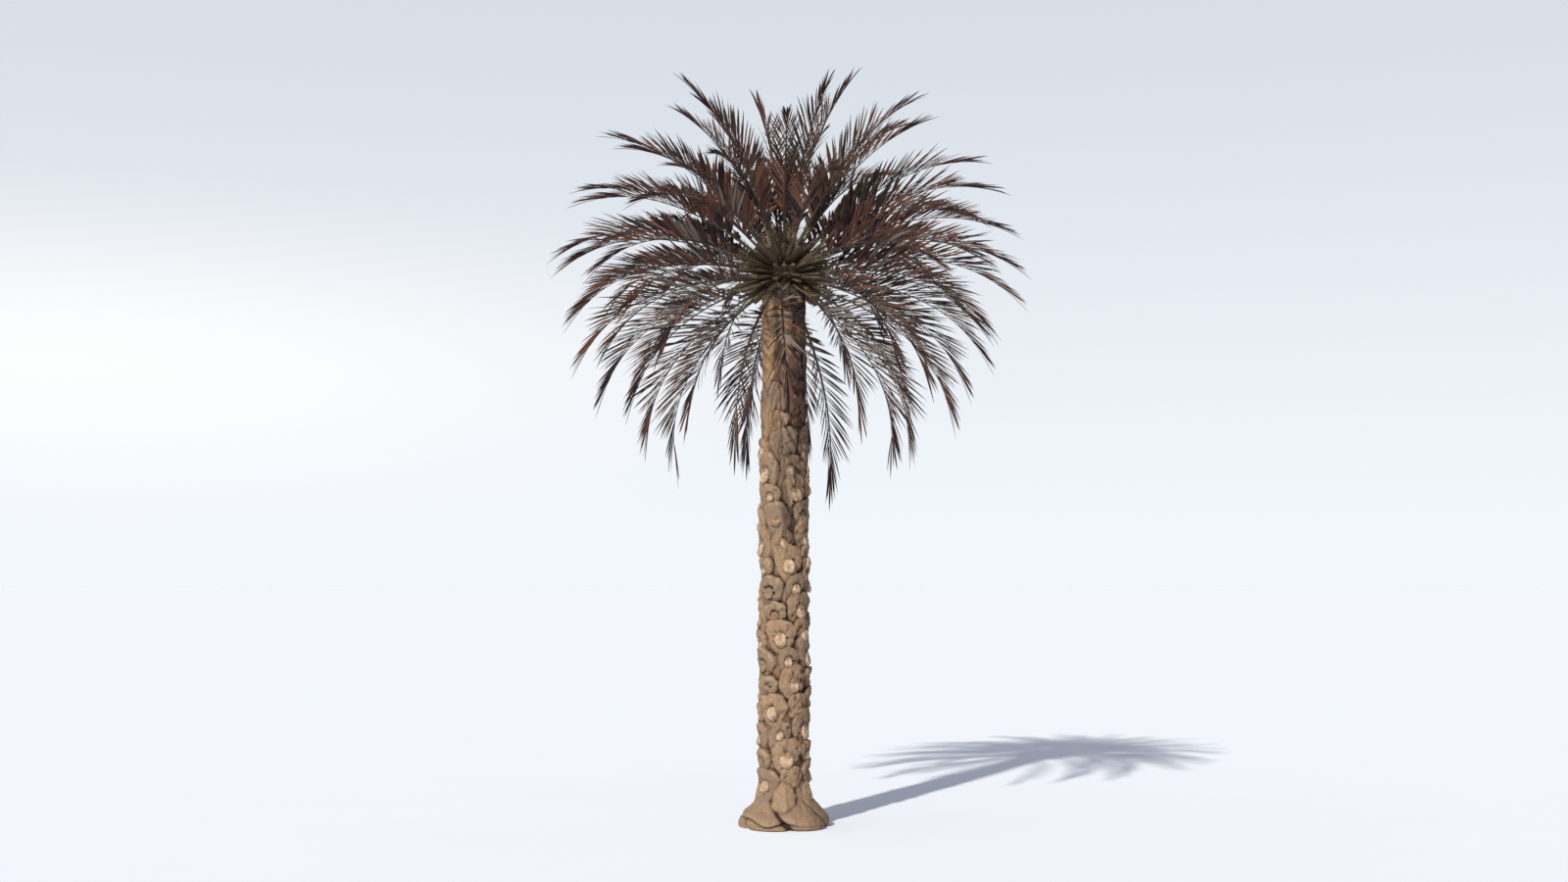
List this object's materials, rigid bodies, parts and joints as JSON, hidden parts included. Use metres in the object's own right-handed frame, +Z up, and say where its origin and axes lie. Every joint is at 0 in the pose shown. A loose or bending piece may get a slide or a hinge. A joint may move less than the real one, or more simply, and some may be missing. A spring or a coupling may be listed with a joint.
{
  "type": "date palm tree",
  "caption": "Date palm with a straight trunk clad in old leaf bases, a flared foot and a round crown of arching feather fronds.",
  "frame": {"origin": "middle of the flat cut under the trunk, at ground level", "axes": "+Z up along the trunk, +X to the right and -Y towards the viewer in the front view"},
  "size_m": [6.341, 5.9399, 9.7081],
  "materials": {
    "bark": "rough brown bark of old leaf bases",
    "leaf_bases": "dull olive brown",
    "leaf": "dry maroon brown"
  },
  "bodies": {
    "root": {"trunk": "bark", "crown_heart": "leaf_bases", "frond_01": "leaf", "frond_02": "leaf", "frond_03": "leaf", "frond_04": "leaf", "frond_05": "leaf", "frond_06": "leaf", "frond_07": "leaf", "frond_08": "leaf", "frond_09": "leaf", "frond_10": "leaf", "frond_11": "leaf", "frond_12": "leaf", "frond_13": "leaf", "frond_14": "leaf", "frond_15": "leaf", "frond_16": "leaf", "frond_17": "leaf", "frond_18": "leaf", "frond_19": "leaf", "frond_20": "leaf", "frond_21": "leaf", "frond_22": "leaf", "frond_23": "leaf", "frond_24": "leaf", "frond_25": "leaf", "frond_26": "leaf", "frond_27": "leaf", "frond_28": "leaf", "frond_29": "leaf", "frond_30": "leaf", "frond_31": "leaf", "frond_32": "leaf", "frond_33": "leaf", "frond_34": "leaf", "frond_35": "leaf", "frond_36": "leaf", "frond_37": "leaf", "frond_38": "leaf", "frond_39": "leaf", "frond_40": "leaf", "frond_41": "leaf", "frond_42": "leaf", "frond_43": "leaf", "frond_44": "leaf", "frond_45": "leaf", "frond_46": "leaf", "frond_47": "leaf", "frond_48": "leaf", "frond_49": "leaf", "frond_50": "leaf", "frond_51": "leaf", "frond_52": "leaf", "frond_53": "leaf", "frond_54": "leaf", "frond_55": "leaf", "frond_56": "leaf", "frond_57": "leaf"}
  },
  "joints": []
}
